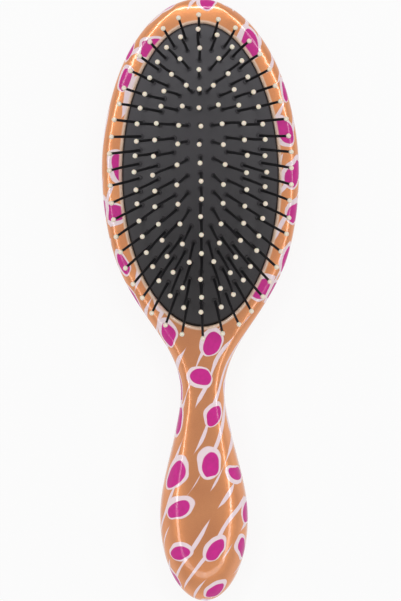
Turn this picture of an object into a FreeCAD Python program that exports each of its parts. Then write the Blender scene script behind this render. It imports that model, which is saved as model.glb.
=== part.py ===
# Oval cushion hair brush for detangling, lying on its back: X across, Y towards the head's free end, Z up.
# Lengths are millimetres. Every driving size stands in SIZES and is copied to the document's sheet.
import FreeCAD, Part
import math
import os
from FreeCAD import Placement, Rotation, Vector

SIZES = {
    # outline seen from above
    "overall_length": 228.6,
    "head_half_width": 37.3,
    "head_top_length": 65.9,
    "head_foot_length": 63.6,
    "neck_distance": 80.5,
    "neck_half_width": 8.4,
    "grip_half_width": 16.75,
    "grip_end_length": 31.5,
    # depth of the two shells from their parting plane
    "parting_height": 9.5,
    "rest_flat_depth": 0.35,
    "head_front_rise": 6.0,
    "neck_front_rise": 6.6,
    "grip_front_rise": 8.6,
    "neck_back_rise": 7.4,
    "wall": 2.2,
    # tongue of the back shell in the groove of the front shell
    "tongue_height": 1.6,
    "tongue_wall": 0.9,
    "tongue_inset": 1.05,
    "joint_clearance": 0.1,
    # posts of the back shell in the sockets of the front shell
    "post_count": 4,
    "post_radius": 1.9,
    "post_engagement": 3.4,
    "socket_wall": 1.5,
    # rim around the pad, and the rubber pad with its domed cap
    "rim_side": 7.85,
    "rim_end": 8.9,
    "lip_radius": 0.8,
    "pad_clearance": 0.15,
    "pad_wall": 1.6,
    "pad_crown": 7.6,
    "pad_edge_drop": 1.0,
    "cap_share": 0.55,
    "vent_radius": 1.1,
    # flange, retaining ring and the studs that hold them
    "seat_drop": 3.9,
    "seat_gap": 0.75,
    "flange_gap": 1.8,
    "flange_thickness": 1.4,
    "ring_thickness": 2.0,
    "stack_clearance": 0.08,
    "stud_count": 10,
    "stud_radius": 0.9,
    "stud_clearance": 0.12,
    "stake_height": 0.9,
    # bristle pins and their beads
    "pin_length": 18.6,
    "pin_root_radius": 0.5,
    "pin_end_radius": 0.42,
    "pin_clearance": 0.1,
    "anchor_radius": 1.15,
    "anchor_thickness": 0.8,
    "anchor_gap": 0.9,
    "bead_radius": 0.95,
    "bond_gap": 0.03,
    # how far a cutting or joining solid runs past the face that it crosses
    "overrun": 0.6,
}

# Dimensionless values: where the head's ellipse hands over to the neck, and the squareness of the sections.
SHOULDER_SHARE = 0.679
FRONT_POWERS = {"head": 5.0, "neck": 3.2, "grip": 2.6}
BACK_POWERS = {"head": 2.6, "neck": 2.3, "grip": 2.3}
# Section stations as shares of an end's length, and of the run between the two ends.
END_SHARES = (0.0, 0.3, 0.55, 0.74, 0.87, 0.94, 0.975, 0.993)
RUN_SHARES = (0.15, 0.3, 0.42, 0.52, 0.61, 0.7, 0.79, 0.89)
SECTION_STEPS = 12
# Rings of pins from the outside in: how many, their roots as shares of the opening's half sizes, how far the
# ring's middle sits towards the free end, and how far the beads lean out as shares of the pin's length.
RINGS = (
    {"pins": 46, "root_shares": (0.7725, 0.881), "shift_share": 0.037, "lean_shares": (0.585, 0.5)},
    {"pins": 40, "root_shares": (0.538, 0.782), "shift_share": 0.072, "lean_shares": (0.446, 0.4)},
    {"pins": 32, "root_shares": (0.3385, 0.694), "shift_share": 0.064, "lean_shares": (0.387, 0.34)},
    {"pins": 22, "root_shares": (0.168, 0.588), "shift_share": 0.059, "lean_shares": (0.204, 0.27)},
)
CENTRE_LINE = {"pins": 10, "root_share": 0.4656, "shift_share": 0.077, "lean_share": 0.2}
# All pins lean this much towards the handle as well.
LEAN_BACK_SHARE = 0.12
# The vent sits beside the centre line's middle, between its pins, as shares of the opening's half sizes.
VENT_SHARES = (0.079, 0.0)
OUTER_COLUMN = 4
# How near to the opening's oval an edge lies that counts as its lip.
NEAR_SHARE = 0.001

doc = FreeCAD.newDocument("brush")
sheet = doc.addObject("Spreadsheet::Sheet", "Sizes")
for row, (alias, value) in enumerate(SIZES.items(), start=1):
    sheet.set(f"A{row}", alias)
    sheet.set(f"B{row}", str(value))
    sheet.setAlias(f"B{row}", alias)
doc.recompute()


def size(alias):
    return float(getattr(sheet, alias))


HEAD_Y = size("overall_length") / 2 - size("head_top_length")
SHOULDER_Y = HEAD_Y - SHOULDER_SHARE * size("head_foot_length")
NECK_Y = HEAD_Y - size("neck_distance")
GRIP_Y = size("grip_end_length") - size("overall_length") / 2
OPENING_ACROSS = size("head_half_width") - size("rim_side")
OPENING_ALONG = size("head_top_length") - size("rim_end")
FLANGE_WIDTH = size("rim_side") - size("wall") - size("flange_gap")
# The same places and levels as expressions for the objects that are bound to the sheet.
HEAD_AT = "(Sizes.overall_length / 2 - Sizes.head_top_length)"
RIM_AT = "(Sizes.parting_height + Sizes.head_front_rise)"
SEAT_AT = f"({RIM_AT} - Sizes.seat_drop)"
FLANGE_AT = f"({SEAT_AT} - Sizes.stack_clearance - Sizes.flange_thickness)"
RING_AT = f"({FLANGE_AT} - Sizes.stack_clearance - Sizes.ring_thickness)"
OPEN_ACROSS = "(Sizes.head_half_width - Sizes.rim_side)"
OPEN_ALONG = "(Sizes.head_top_length - Sizes.rim_end)"
SEAT_REACH = "(Sizes.rim_side - Sizes.wall - Sizes.seat_gap)"
FLANGE_REACH = "(Sizes.rim_side - Sizes.wall - Sizes.flange_gap)"
PAD_ACROSS = f"({OPEN_ACROSS} - Sizes.pad_clearance)"
PAD_ALONG = f"({OPEN_ALONG} - Sizes.pad_clearance)"
CAP_UPRIGHT = "(Sizes.pad_crown / (1 - Sizes.cap_share))"
CAP_SPREAD = "sqrt(1 - Sizes.cap_share ^ 2)"
CAP_AT = f"({RIM_AT} - Sizes.pad_edge_drop - Sizes.cap_share * {CAP_UPRIGHT})"


def bind(thing, expressions):
    for prop, expression in expressions.items():
        thing.setExpression(prop, expression)
    return thing


def add(kind, label, expressions=None, **properties):
    thing = doc.addObject(kind, label)
    thing.Label = label
    for prop, value in properties.items():
        setattr(thing, prop, value)
    return bind(thing, expressions or {})


def feature(label, shape):
    thing = doc.addObject("Part::Feature", label)
    thing.Label = label
    thing.Shape = shape
    return thing


def cut(label, base, tool):
    return add("Part::Cut", label, Base=base, Tool=tool)


def fuse(label, *things):
    return add("Part::MultiFuse", label, Shapes=list(things))


def ease(share):
    held = min(max(share, 0), 1)
    return held * held * (3 - 2 * held)


def along(y, values):
    if y > NECK_Y:
        step = ease((SHOULDER_Y - y) / (SHOULDER_Y - NECK_Y))
        return values["head"] + (values["neck"] - values["head"]) * step
    return values["neck"] + (values["grip"] - values["neck"]) * ease((NECK_Y - y) / (NECK_Y - GRIP_Y))


def end_share(y, inset):
    # The last station of an end lies on the body's true end, so the ellipse reaches a little past it.
    if y >= HEAD_Y:
        return (y - HEAD_Y) / (size("head_top_length") - inset) * END_SHARES[-1]
    if y <= GRIP_Y:
        return (GRIP_Y - y) / (size("grip_end_length") - inset) * END_SHARES[-1]
    return 0.0


def half_width(y, inset):
    head = size("head_half_width")
    foot = size("head_foot_length")
    neck = size("neck_half_width")
    grip = size("grip_half_width")
    if y >= HEAD_Y:
        return (head - inset) * math.sqrt(1 - end_share(y, inset) ** 2)
    if y <= GRIP_Y:
        return (grip - inset) * math.sqrt(1 - end_share(y, inset) ** 2)
    if y >= SHOULDER_Y:
        return head * math.sqrt(1 - ((HEAD_Y - y) / foot) ** 2) - inset
    if y >= NECK_Y:
        run = SHOULDER_Y - NECK_Y
        t = (SHOULDER_Y - y) / run
        start = head * math.sqrt(1 - SHOULDER_SHARE**2)
        slope = -head / foot * SHOULDER_SHARE / math.sqrt(1 - SHOULDER_SHARE**2)
        eased = 3 * t**2 - 2 * t**3
        return start * (1 - eased) + slope * run * (t**3 - 2 * t**2 + t) + neck * eased - inset
    t = (NECK_Y - y) / (NECK_Y - GRIP_Y)
    return neck + (grip - neck) * (1 - math.cos(math.pi * t)) / 2 - inset


def stations(inset):
    reach = END_SHARES[-1]
    head = [HEAD_Y + s / reach * (size("head_top_length") - inset) for s in reversed(END_SHARES)]
    run = [HEAD_Y + s * (GRIP_Y - HEAD_Y) for s in RUN_SHARES]
    grip = [GRIP_Y - s / reach * (size("grip_end_length") - inset) for s in END_SHARES]
    return head + run + grip


def section(y, inset, side, rises, powers, past):
    # One half of a squared-off oval, closed straight along the parting plane or a little past it.
    width = half_width(y, inset)
    power = along(y, powers)
    height = (along(y, rises) - inset) * (1 - end_share(y, inset) ** power) ** (1 / power)
    level = size("parting_height")
    points = []
    for step in range(SECTION_STEPS + 1):
        angle = math.pi * step / SECTION_STEPS
        across = math.cos(angle)
        up = math.sin(angle)
        reach = (abs(across) ** power + abs(up) ** power) ** (-1 / power)
        points.append(Vector(width * reach * across, y, level + side * height * reach * up))
    points[0].z = level
    points[-1].z = level
    curve = Part.BSplineCurve()
    curve.interpolate(points)
    drop = Vector(0, 0, -side * past)
    corners = [points[-1], points[0]]
    if past:
        corners = [points[-1], points[-1] + drop, points[0] + drop, points[0]]
    return Part.Wire([curve.toShape()] + [Part.makeLine(p, q) for p, q in zip(corners, corners[1:])])


def half_body(label, side, rises, powers, inset, past):
    wires = [section(y, inset, side, rises, powers, past) for y in stations(inset)]
    return feature(label, Part.makeLoft(wires, True, False, False, 3))


def outline_plate(label, inset, bottom, height):
    # A plate with the body's outline, drawn in by the inset.
    right = [Vector(half_width(y, inset), y, bottom) for y in stations(inset)]
    left = [Vector(-p.x, p.y, p.z) for p in reversed(right)]
    sides = []
    for points in (right, left):
        curve = Part.BSplineCurve()
        curve.interpolate(points)
        sides.append(curve.toShape())
    ends = [Part.makeLine(right[-1], left[0]), Part.makeLine(left[-1], right[0])]
    wire = Part.Wire([sides[0], ends[0], sides[1], ends[1]])
    return feature(label, Part.Face(wire).extrude(Vector(0, 0, height)))


def ellipse_prism(label, half_across, half_along, bottom, height):
    flat = add("Part::Ellipse", label + "_outline", {"MajorRadius": half_along, "MinorRadius": half_across})
    flat.Placement = Placement(Vector(), Rotation(Vector(0, 0, 1), 90))
    bind(flat, {"Placement.Base.y": HEAD_AT, "Placement.Base.z": bottom})
    prism = add("Part::Extrusion", label, Base=flat, DirMode="Custom", Dir=Vector(0, 0, 1), Solid=True)
    return bind(prism, {"LengthFwd": height})


def cylinders(label, radius, bottom, height, places):
    # Upright cylinders of one size at the given places.
    master = add("Part::Cylinder", label + "_one", {"Radius": radius, "Height": height})
    bind(master, {"Placement.Base.z": bottom})
    doc.recompute()
    copies = [master.Shape.translated(Vector(x, y, 0)) for x, y in places]
    return feature(label, Part.makeCompound(copies))


def post_places():
    # On the centre line, from just below the pad's flange to the widest part of the grip.
    room = FLANGE_WIDTH + size("post_radius") + size("socket_wall") + size("wall")
    first = HEAD_Y - OPENING_ALONG - room
    count = round(size("post_count"))
    return [(0, first + (GRIP_Y - first) * k / (count - 1)) for k in range(count)]


def stud_places():
    # Evenly spaced along the middle of the pad's flange, none of them on the centre line.
    inset = FLANGE_WIDTH / 2
    oval = Part.Ellipse(Vector(), OPENING_ALONG + inset, OPENING_ACROSS + inset)
    points = oval.discretize(Number=2 * round(size("stud_count")) + 1)
    return [(-p.y, HEAD_Y + p.x) for p in points[1::2]]


def make_front_shell():
    rises = {place: size(place + "_front_rise") for place in ("head", "neck", "grip")}
    outer = half_body("front_outer", 1, rises, FRONT_POWERS, 0, 0)
    core = half_body("front_core", 1, rises, FRONT_POWERS, size("wall"), size("overrun"))
    groove = outline_plate(
        "groove",
        size("tongue_inset") - size("joint_clearance"),
        size("parting_height") - 2 * size("overrun"),
        2 * size("overrun") + size("tongue_height") + size("joint_clearance"),
    )
    # The seat fills the rim down to a level face that the pad's flange presses on.
    seat = ellipse_prism(
        "seat",
        f"{OPEN_ACROSS} + {SEAT_REACH}",
        f"{OPEN_ALONG} + {SEAT_REACH}",
        SEAT_AT,
        "Sizes.seat_drop + Sizes.overrun",
    )
    sockets = cylinders(
        "sockets",
        "Sizes.post_radius + Sizes.joint_clearance + Sizes.socket_wall",
        "Sizes.parting_height + Sizes.joint_clearance",
        "Sizes.grip_front_rise",
        post_places(),
    )
    hollow = cut("front_hollow", cut("front_room", fuse("front_inside", core, groove), seat), sockets)
    bores = cylinders(
        "socket_bores",
        "Sizes.post_radius + Sizes.joint_clearance",
        "Sizes.parting_height - Sizes.overrun",
        "Sizes.overrun + Sizes.post_engagement + Sizes.joint_clearance",
        post_places(),
    )
    opening = ellipse_prism(
        "opening",
        OPEN_ACROSS,
        OPEN_ALONG,
        "Sizes.parting_height",
        "Sizes.head_front_rise + Sizes.overrun",
    )
    stack = "(Sizes.flange_thickness + Sizes.ring_thickness + 2 * Sizes.stack_clearance + Sizes.stake_height)"
    studs = cylinders(
        "studs",
        "Sizes.stud_radius",
        f"{SEAT_AT} - {stack}",
        f"{stack} + Sizes.overrun",
        stud_places(),
    )
    skin = cut("front_bored", cut("front_skin", outer, hollow), bores)
    joined = fuse("front_joined", cut("front_open", skin, opening), studs)
    doc.recompute()
    return feature("front_shell", joined.Shape.makeFillet(size("lip_radius"), lip_edges(joined.Shape)))


def lip_edges(shape):
    # The upper edges of the opening, which lie on its oval and well above the seat.
    seat = size("parting_height") + size("head_front_rise") - size("seat_drop")
    found = []
    for edge in shape.Edges:
        points = edge.discretize(Number=SECTION_STEPS)
        off_oval = [(p.x / OPENING_ACROSS) ** 2 + ((p.y - HEAD_Y) / OPENING_ALONG) ** 2 - 1 for p in points]
        on_oval = max(abs(share) for share in off_oval) < NEAR_SHARE
        if on_oval and min(p.z for p in points) > seat + size("overrun"):
            found.append(edge)
    return found


def make_back_shell():
    rises = {
        "head": size("parting_height") + size("rest_flat_depth"),
        "neck": size("neck_back_rise"),
        "grip": size("parting_height") + size("rest_flat_depth"),
    }
    outer = half_body("back_outer", -1, rises, BACK_POWERS, 0, 0)
    core = half_body("back_core", -1, rises, BACK_POWERS, size("wall"), size("overrun"))
    level = size("parting_height")
    sunk = size("tongue_height") / 2
    tongue = outline_plate("tongue", size("tongue_inset"), level - sunk, sunk + size("tongue_height"))
    tongue_core = outline_plate(
        "tongue_core",
        size("tongue_inset") + size("tongue_wall"),
        level,
        size("tongue_height") + size("overrun"),
    )
    posts = feature("posts", Part.makeCompound([make_post(x, y, rises) for x, y in post_places()]))
    # The back is flattened so that the brush rests level on its head and its grip.
    below = add(
        "Part::Box",
        "below_rest",
        {
            "Length": "2 * Sizes.overall_length",
            "Width": "2 * Sizes.overall_length",
            "Height": "Sizes.parting_height",
            "Placement.Base.x": "-Sizes.overall_length",
            "Placement.Base.y": "-Sizes.overall_length",
            "Placement.Base.z": "-Sizes.parting_height",
        },
    )
    hollow = fuse("back_hollow", core, tongue_core)
    skin = cut("back_skin", fuse("back_block", outer, tongue), hollow)
    return cut("back_shell", fuse("back_joined", skin, posts), below)


def make_post(x, y, rises):
    # A post stands in the middle of the back's wall and reaches into its socket.
    foot = size("parting_height") - along(y, rises) + size("wall") / 2
    top = size("parting_height") + size("post_engagement")
    return Part.makeCylinder(size("post_radius"), top - foot, Vector(x, y, foot))


def pad_cap(label, inset):
    # The ellipsoid whose top is the pad's dome, drawn in by the inset. Its poles point along the brush, so that
    # neither a pole nor the seam lies on the dome, where the pin holes are cut.
    return add(
        "Part::Ellipsoid",
        label,
        {
            "Radius1": f"{PAD_ALONG} / {CAP_SPREAD} - {inset}",
            "Radius2": f"{PAD_ACROSS} / {CAP_SPREAD} - {inset}",
            "Radius3": f"{CAP_UPRIGHT} - {inset}",
            "Placement.Base.y": HEAD_AT,
            "Placement.Base.z": CAP_AT,
        },
        Placement=Placement(Vector(), Rotation(Vector(0, 1, 0), Vector(0, 0, 1))),
    )


def make_cushion(dome, pins):
    height = f"({RIM_AT} + Sizes.pad_crown - {FLANGE_AT})"
    column = ellipse_prism("pad_column", PAD_ACROSS, PAD_ALONG, FLANGE_AT, height)
    cap = add("Part::MultiCommon", "pad_cap", Shapes=[dome, column])
    flange = ellipse_prism(
        "pad_flange",
        f"{OPEN_ACROSS} + {FLANGE_REACH}",
        f"{OPEN_ALONG} + {FLANGE_REACH}",
        FLANGE_AT,
        "Sizes.flange_thickness",
    )
    inner_column = ellipse_prism(
        "pad_inner_column",
        f"{PAD_ACROSS} - Sizes.pad_wall",
        f"{PAD_ALONG} - Sizes.pad_wall",
        f"{FLANGE_AT} - Sizes.overrun",
        height,
    )
    inner_dome = pad_cap("pad_inner_dome", "Sizes.pad_wall")
    hollow = add("Part::MultiCommon", "pad_hollow", Shapes=[inner_dome, inner_column])
    plain = cut("pad_plain", fuse("pad_solid", cap, flange), hollow)
    return cut("cushion", plain, make_pad_holes(pins))


def make_pad_holes(pins):
    reach = size("pad_wall") + size("anchor_gap") + size("overrun")
    radius = size("pin_root_radius") + size("pin_clearance")
    bore = Part.makeCylinder(radius, 2 * reach, Vector(0, 0, -reach), Vector(0, 0, 1))
    holes = [placed(bore, pin, 0) for pin in pins]
    vent_place = Vector(VENT_SHARES[0] * OPENING_ACROSS, HEAD_Y + VENT_SHARES[1] * OPENING_ALONG, 0)
    vent = Part.makeCylinder(size("vent_radius"), size("overall_length"), vent_place)
    studs = cylinders(
        "flange_holes",
        "Sizes.stud_radius + Sizes.stud_clearance",
        f"{FLANGE_AT} - Sizes.overrun",
        "Sizes.flange_thickness + 2 * Sizes.overrun",
        stud_places(),
    )
    return feature("pad_holes", Part.makeCompound(holes + [vent] + studs.Shape.Solids))


def make_retaining_ring():
    outer = ellipse_prism(
        "ring_outer",
        f"{OPEN_ACROSS} + {FLANGE_REACH}",
        f"{OPEN_ALONG} + {FLANGE_REACH}",
        RING_AT,
        "Sizes.ring_thickness",
    )
    inner = ellipse_prism(
        "ring_inner",
        f"{PAD_ACROSS} - Sizes.pad_wall",
        f"{PAD_ALONG} - Sizes.pad_wall",
        f"{RING_AT} - Sizes.overrun",
        "Sizes.ring_thickness + 2 * Sizes.overrun",
    )
    holes = cylinders(
        "ring_holes",
        "Sizes.stud_radius + Sizes.stud_clearance",
        f"{RING_AT} - Sizes.overrun",
        "Sizes.ring_thickness + 2 * Sizes.overrun",
        stud_places(),
    )
    return cut("retaining_ring", cut("ring_plain", outer, inner), holes)


def pin_at(dome, x, y, lean_shares):
    # A pin rooted in the dome's outer face, x and y from the head's centre, leaning by shares of its length.
    across = x / dome.Radius2.Value
    lengthwise = y / dome.Radius1.Value
    height = dome.Radius3.Value * math.sqrt(1 - across**2 - lengthwise**2)
    lean_x, lean_y = lean_shares
    way = Vector(lean_x, lean_y, math.sqrt(1 - lean_x**2 - lean_y**2))
    return {"root": dome.Placement.Base + Vector(x, y, height), "way": way}


def make_pins(dome):
    pins = []
    for ring in RINGS:
        root_across = ring["root_shares"][0] * OPENING_ACROSS
        root_along = ring["root_shares"][1] * OPENING_ALONG
        oval = Part.Ellipse(Vector(), root_along, root_across)
        # The oval's long axis is X here, so its points are turned to lie along Y.
        for point in oval.discretize(Number=ring["pins"] + 1)[:-1]:
            x = -point.y
            y = point.x
            lean_x = ring["lean_shares"][0] * x / root_across
            lean_y = ring["lean_shares"][1] * y / root_along - LEAN_BACK_SHARE
            pins.append(pin_at(dome, x, y + ring["shift_share"] * OPENING_ALONG, (lean_x, lean_y)))
    count = CENTRE_LINE["pins"]
    for k in range(count):
        share = 2 * k / (count - 1) - 1
        y = (share * CENTRE_LINE["root_share"] + CENTRE_LINE["shift_share"]) * OPENING_ALONG
        pins.append(pin_at(dome, 0, y, (0, share * CENTRE_LINE["lean_share"] - LEAN_BACK_SHARE)))
    return pins


def placed(shape, pin, lift):
    # A copy that stands along the pin's axis, lifted from its root.
    copy = shape.copy()
    copy.Placement = Placement(pin["root"] + pin["way"] * lift, Rotation(Vector(0, 0, 1), pin["way"]))
    return copy


def make_master_pin():
    foot = "(Sizes.pad_wall + Sizes.anchor_gap)"
    shaft = add(
        "Part::Cone",
        "pin_shaft",
        {
            "Radius1": "Sizes.pin_root_radius",
            "Radius2": "Sizes.pin_end_radius",
            "Height": f"Sizes.pin_length + {foot}",
            "Placement.Base.z": f"-{foot}",
        },
    )
    anchor = add(
        "Part::Cylinder",
        "pin_anchor",
        {
            "Radius": "Sizes.anchor_radius",
            "Height": "Sizes.anchor_thickness",
            "Placement.Base.z": f"-{foot} - Sizes.anchor_thickness",
        },
    )
    return fuse("pin_master", shaft, anchor)


def make_master_bead():
    ball = add("Part::Sphere", "bead_ball", {"Radius": "Sizes.bead_radius"})
    socket = add(
        "Part::Cylinder",
        "bead_socket",
        {
            "Radius": "Sizes.pin_root_radius + Sizes.bond_gap",
            "Height": "Sizes.bead_radius + Sizes.overrun + Sizes.bond_gap",
            "Placement.Base.z": "-Sizes.bead_radius - Sizes.overrun",
        },
    )
    return cut("bead_master", ball, socket)


def column_of(pin):
    # Columns are evenly spaced from the centre line to the outer ring's sides.
    outermost = RINGS[0]["root_shares"][0] * OPENING_ACROSS
    return round(OUTER_COLUMN * pin["root"].x / outermost)


def column_name(column):
    if column == 0:
        return "centre"
    return f"{'left' if column < 0 else 'right'}_{abs(column)}"


def make_columns(pins):
    # Pins and beads are grouped by columns that run the length of the pad.
    pin_master = make_master_pin()
    bead_master = make_master_bead()
    doc.recompute()
    groups = []
    for column in range(-OUTER_COLUMN, OUTER_COLUMN + 1):
        mine = [pin for pin in pins if column_of(pin) == column]
        mean = sum((pin["root"] for pin in mine), Vector()) / len(mine)
        name = column_name(column)
        print(name, "pins", len(mine), "mean root", [round(v, 3) for v in mean])
        shafts = [placed(pin_master.Shape.Solids[0], pin, 0) for pin in mine]
        beads = [placed(bead_master.Shape.Solids[0], pin, size("pin_length")) for pin in mine]
        groups.append(feature("bristles_" + name, Part.makeCompound(shafts)))
        groups.append(feature("tips_" + name, Part.makeCompound(beads)))
    return groups


def write(things):
    doc.recompute()
    for thing in doc.Objects:
        if "Invalid" in thing.State or "Error" in thing.State:
            raise RuntimeError(f"{thing.Label} is {thing.State}")
    os.makedirs("parts", exist_ok=True)
    for thing in things:
        shape = thing.Shape
        if shape.isNull() or not shape.isValid():
            raise RuntimeError(f"{thing.Label} has a bad shape")
        print(thing.Label, "solids", len(shape.Solids), "volume", round(shape.Volume, 1))
        shape.exportStep(f"parts/{thing.Label}.step")


dome = pad_cap("pad_dome", "0")
doc.recompute()
pins = make_pins(dome)
shells = [make_front_shell(), make_back_shell()]
pad = [make_cushion(dome, pins), make_retaining_ring()]
columns = make_columns(pins)
write(shells + pad + columns)
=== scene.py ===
import math

import bmesh
import bpy
from mathutils import Matrix, Vector


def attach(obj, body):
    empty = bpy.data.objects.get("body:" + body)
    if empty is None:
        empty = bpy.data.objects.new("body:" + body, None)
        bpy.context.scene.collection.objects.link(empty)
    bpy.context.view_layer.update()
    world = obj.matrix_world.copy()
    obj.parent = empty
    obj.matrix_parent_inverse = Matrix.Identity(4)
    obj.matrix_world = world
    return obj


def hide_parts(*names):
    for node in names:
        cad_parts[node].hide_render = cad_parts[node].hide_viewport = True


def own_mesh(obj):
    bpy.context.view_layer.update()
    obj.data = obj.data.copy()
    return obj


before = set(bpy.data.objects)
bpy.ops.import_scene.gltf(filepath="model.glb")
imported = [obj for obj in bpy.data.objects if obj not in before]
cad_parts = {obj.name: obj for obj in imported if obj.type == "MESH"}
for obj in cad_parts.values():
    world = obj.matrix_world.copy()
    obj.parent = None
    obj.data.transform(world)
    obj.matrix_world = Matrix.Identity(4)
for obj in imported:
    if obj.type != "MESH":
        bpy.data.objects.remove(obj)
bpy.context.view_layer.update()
mm = 0.001
scene = bpy.context.scene
scene.view_settings.view_transform = "Standard"
print("frame loaded:", len(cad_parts), "nodes")


def tint(code):
    # sRGB hex to the linear colour that the shaders take
    parts = [int(code[k:k + 2], 16) / 255 for k in (1, 3, 5)]
    return [p / 12.92 if p <= 0.04045 else ((p + 0.055) / 1.055) ** 2.4 for p in parts] + [1.0]


def addNode(tree, kind, settings=None, links=None):
    # adds one node: settings are its properties or socket values, links feed its sockets
    node = tree.nodes.new(kind)
    for key, value in (settings or {}).items():
        if isinstance(key, str) and key in node.bl_rna.properties:
            setattr(node, key, value)
        else:
            node.inputs[key].default_value = value
    for key, source in (links or {}).items():
        socket = source.outputs[0] if isinstance(source, bpy.types.Node) else source
        tree.links.new(socket, node.inputs[key])
    return node


def newFinish(name):
    finish = bpy.data.materials.new(name)
    finish.use_nodes = True
    finish.node_tree.nodes.clear()
    return finish, finish.node_tree


def closeFinish(tree, settings, links):
    skin = addNode(tree, "ShaderNodeBsdfPrincipled", settings, links)
    addNode(tree, "ShaderNodeOutputMaterial", None, {"Surface": skin})


# body shells, sizes in mm
shell = {
    "copper": "#E8975B", "copperDeep": "#D6834A",
    "berry": "#E6149E", "berryDeep": "#C41084",
    "blush": "#FFE8EE", "lipHighlightPeach": "#F8DAC0", "seamColour": "#3A2212",
    "openingY": 48.4,          # middle of the pad's opening, then its half sizes
    "openingAcross": 29.45, "openingAlong": 57.0,
    "lipHighlightWidth": 1.25,          # painted highlight: pale band along the opening's edge
    "lipHighlightFade": (0.3, 0.2), "lipHighlightStrength": 0.85,
    "pebblePitch": 16.0, "pebbleScatter": 0.55,
    "pebbleHalfLength": 5.6, "pebbleHalfWidth": 3.5,
    "pebbleSizes": (0.75, 1.15),
    "pebbleEdge": 1.4,         # pale border round a pebble, thicker on one side
    "edgeOffset": (0.6, 0.45, 0.0),
    "pebbleShare": 0.92,       # how many of the places carry one
    "wanderPerMm": 0.12, "wanderReach": 3.2,
    "strokePitch": 8.0, "strokeHalf": 1.0, "strokeTurn": 0.6,
    "strokeSway": 26.0, "swayPerMm": 0.03,
    "swellPerMm": 0.07, "swellRange": (0.41, 0.6),
    "softEdge": 0.12,          # mm over which a printed edge blends
    "inkPerMm": 0.5,
    "grain": 0.35,             # metal flake size
    "cloudPerMm": 0.06, "flakeShare": 0.5, "mottleRange": (0.45, 1.05),
    "flakeBump": 0.06, "flakeHeight": 0.05,
    "seamHeight": 9.5, "seamHalf": 0.11, "seamStrength": 0.75,
    "crownHeight": 17.0,       # where the front half's print starts to unroll
    "backShift": 29.0,         # keeps the back half's print from mirroring the front's
    "metalShare": 0.8, "metalRoughness": (0.26, 0.36), "specular": 0.2,
    "coatRoughness": 0.06, "coatIor": 1.8, "inkCoat": 0.45,
}


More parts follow.
